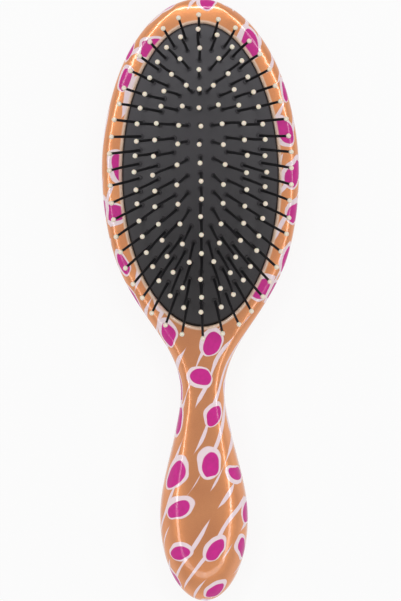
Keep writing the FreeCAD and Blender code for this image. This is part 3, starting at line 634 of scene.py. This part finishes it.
        # a slight bow that leaves both ends where they are, deepest at the middle
        alongHere = addNode(tree, "GeometryNodeInputNamedAttribute",
                            {"data_type": "FLOAT", "Name": "along"})
        bendHere = addNode(tree, "GeometryNodeInputNamedAttribute",
                           {"data_type": "FLOAT_VECTOR", "Name": "bend"})
        left = addNode(tree, "ShaderNodeMath", {"operation": "SUBTRACT", 0: 1.0}, {1: alongHere})
        hump = addNode(tree, "ShaderNodeMath", {"operation": "MULTIPLY"}, {0: alongHere, 1: left})
        bow = addNode(tree, "ShaderNodeVectorMath", {"operation": "SCALE"},
                      {0: bendHere, "Scale": hump})
        real = addNode(tree, "GeometryNodeSetPosition", None, {"Geometry": real, "Offset": bow})
    smooth = addNode(tree, "GeometryNodeSetShadeSmooth", None, {"Geometry": real})
    dressed = addNode(tree, "GeometryNodeSetMaterial", None,
                      {"Geometry": smooth, "Material": given["Finish"]})
    both = addNode(tree, "GeometryNodeJoinGeometry")
    tree.links.new(dressed.outputs[0], both.inputs[0])
    tree.links.new(given["Geometry"], both.inputs[0])
    addNode(tree, "NodeGroupOutput", None, {0: both})
    return tree


def growField(name, tree, middle, half, finish):
    # one modifier for each ring on an empty host, then the result as a plain mesh;
    # the bow's curve peaks at a quarter, so its bend is given four times over
    host = bpy.data.objects.new(name + "_host", bpy.data.meshes.new(name + "_host"))
    scene.collection.objects.link(host)
    sockets = {s.name: s.identifier for s in tree.interface.items_tree if s.in_out == "INPUT"}
    for k, row in enumerate(bristles["rings"]):
        modifier = host.modifiers.new("row", "NODES")
        modifier.node_group = tree
        values = {
            "Pins": row["pins"], "Root Across": row["across"] * mm, "Root Along": row["along"] * mm,
            "Lean Across": row["leanAcross"], "Lean Along": row["leanAlong"],
            "Lean Back": bristles["leanBack"],
            "Shift": row["shift"] * mm, "Straight Row": row["across"] == 0,
            "Column Middle": middle * mm, "Column Half": half * mm,
            "Seed": bristles["seed"] + k, "Pin Length": bristles["length"] * mm,
            "Scatter": bristles["scatter"], "Bend": 4 * bristles["bend"] * mm, "Finish": finish,
        }
        for label, value in values.items():
            modifier[sockets[label]] = value
    graph = bpy.context.evaluated_depsgraph_get()
    mesh = bpy.data.meshes.new_from_object(host.evaluated_get(graph))
    bpy.data.objects.remove(host)
    for extra in ("way", "bend", "along"):
        if extra in mesh.attributes:
            mesh.attributes.remove(mesh.attributes[extra])
    mesh.name = name
    piece = bpy.data.objects.new(name, mesh)
    scene.collection.objects.link(piece)
    return piece


nylonFinish = makeNylonFinish()
beadFinish = makeBeadFinish()
pinTree = makeFieldTree("pin")
beadTree = makeFieldTree("bead")
bossTree = makeFieldTree("boss")
pinPieces = {}
beadPieces = {}
for column in range(-bristles["outerColumn"], bristles["outerColumn"] + 1):
    side = "left" if column < 0 else "right"
    name = f"{side}_{abs(column)}" if column else "centre"
    middle = column * bristles["columnPitch"]
    half = bristles["columnPitch"] / 2
    pinPieces[name] = growField("pins_" + name, pinTree, middle, half, nylonFinish)
    beadPieces[name] = growField("beads_" + name, beadTree, middle, half, beadFinish)
bosses = growField("pad_bosses", bossTree, 0, pad["across"], padFinish)
print("bristles grown:", sum(len(p.data.polygons) for p in pinPieces.values()), "pin faces")


# pieces onto their bodies
for piece in (rubberPad, bosses):
    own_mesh(piece)
    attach(piece, "body")
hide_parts("cushion")
for name, piece in pinPieces.items():
    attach(piece, "column_" + name)
    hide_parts("bristles_" + name)
for name, piece in beadPieces.items():
    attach(piece, "column_" + name)
    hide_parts("tips_" + name)
print("pieces set on their bodies")


# floor, light and camera
stage = {"floor": "#F2F2F2", "half": 1.5, "whiteShare": 0.88, "ambient": 0.5, "zenith": 0.57,
         "skyFade": (0.2, 0.75)}


def makeFloorFinish():
    # matt paper sweep: white to the eye, with a trace of the shadow left on it
    finish, tree = newFinish("paperSweep")
    paper = addNode(tree, "ShaderNodeBsdfDiffuse", {"Color": tint(stage["floor"])})
    glow = addNode(tree, "ShaderNodeEmission", {"Strength": 1.0})
    path = addNode(tree, "ShaderNodeLightPath")
    seen = addNode(tree, "ShaderNodeMath", {"operation": "MAXIMUM"},
                   {0: path.outputs["Is Camera Ray"], 1: path.outputs["Is Glossy Ray"]})
    seenAll = addNode(tree, "ShaderNodeMath", {"operation": "MAXIMUM"},
                      {0: seen, 1: path.outputs["Is Transmission Ray"]})
    part = addNode(tree, "ShaderNodeMath", {"operation": "MULTIPLY", 1: stage["whiteShare"]},
                   {0: seenAll})
    mix = addNode(tree, "ShaderNodeMixShader", None, {0: part, 1: paper, 2: glow})
    addNode(tree, "ShaderNodeOutputMaterial", None, {"Surface": mix})
    return finish


def makeFloor():
    h = stage["half"]
    mesh = bpy.data.meshes.new("floor")
    mesh.from_pydata([(-h, -h, 0), (h, -h, 0), (h, h, 0), (-h, h, 0)], [], [(0, 1, 2, 3)])
    mesh.materials.append(makeFloorFinish())
    floor = bpy.data.objects.new("floor", mesh)
    scene.collection.objects.link(floor)


def makeWorld():
    world = bpy.data.worlds.new("studio")
    scene.world = world
    world.use_nodes = True
    tree = world.node_tree
    tree.nodes.clear()
    # white at the horizon, greyer overhead where the glossy faces look, and even for soft light
    path = addNode(tree, "ShaderNodeLightPath")
    place = addNode(tree, "ShaderNodeTexCoord")
    axes = addNode(tree, "ShaderNodeSeparateXYZ", None, {0: place.outputs["Generated"]})
    fadeFrom, fadeTo = stage["skyFade"]
    dome = addNode(tree, "ShaderNodeMapRange",
                   {"From Min": fadeFrom, "From Max": fadeTo, "To Min": 1.0,
                    "To Max": stage["zenith"]}, {"Value": axes.outputs["Z"]})
    unseen = addNode(tree, "ShaderNodeMapRange", {"To Min": stage["ambient"]},
                     {"Value": path.outputs["Is Glossy Ray"], "To Max": dome})
    seen = addNode(tree, "ShaderNodeMath", {"operation": "MAXIMUM"},
                   {0: path.outputs["Is Camera Ray"], 1: path.outputs["Is Transmission Ray"]})
    level = addNode(tree, "ShaderNodeMapRange", {"To Max": 1.0}, {"Value": seen, "To Min": unseen})
    sky = addNode(tree, "ShaderNodeBackground", {"Color": (1, 1, 1, 1)}, {"Strength": level})
    addNode(tree, "ShaderNodeOutputWorld", None, {"Surface": sky})


# a ring of narrow softboxes, sizes in metres, so a thin bright line runs round the rim,
# with the dimmer ones over the handle
lamps = {"boxes": 10, "radius": 0.6, "height": 0.88, "size": (0.4, 0.09),
         "farPower": 0.78, "nearPower": 0.14}


def makeLights():
    for k in range(lamps["boxes"]):
        data = bpy.data.lights.new("softbox%d" % k, "AREA")
        data.shape = "RECTANGLE"
        data.size, data.size_y = lamps["size"]
        angle = 2 * math.pi * k / lamps["boxes"]
        far = (1 + math.sin(angle)) / 2
        data.energy = lamps["nearPower"] + far * (lamps["farPower"] - lamps["nearPower"])
        light = bpy.data.objects.new(data.name, data)
        light.location = (lamps["radius"] * math.cos(angle), lamps["radius"] * math.sin(angle),
                          lamps["height"])
        light.rotation_euler = (-light.location).to_track_quat("-Z", "Y").to_euler()
        scene.collection.objects.link(light)


# camera, sizes in mm: nearly straight above, with the whole length in the picture's long side
view = {"aim": (-0.47, 0.87, 9.5), "distance": 900.0, "tilt": 4.5, "roll": -0.59, "spanLong": 228.5,
        "sensor": 36.0, "clipStart": 10.0}


def makeCamera():
    data = bpy.data.cameras.new("camera")
    data.sensor_width = view["sensor"]
    data.lens = data.sensor_width * view["distance"] / view["spanLong"]
    data.clip_start = view["clipStart"] * mm
    camera = bpy.data.objects.new("camera", data)
    tilt = math.radians(view["tilt"])
    turn = Matrix.Rotation(-tilt, 4, "X") @ Matrix.Rotation(math.radians(view["roll"]), 4, "Z")
    back = Vector((0, math.sin(tilt), math.cos(tilt)))
    place = (Vector(view["aim"]) + view["distance"] * back) * mm
    camera.matrix_world = Matrix.Translation(place) @ turn
    scene.collection.objects.link(camera)
    scene.camera = camera


makeFloor()
makeWorld()
makeLights()
makeCamera()
print("stage, light and camera set")
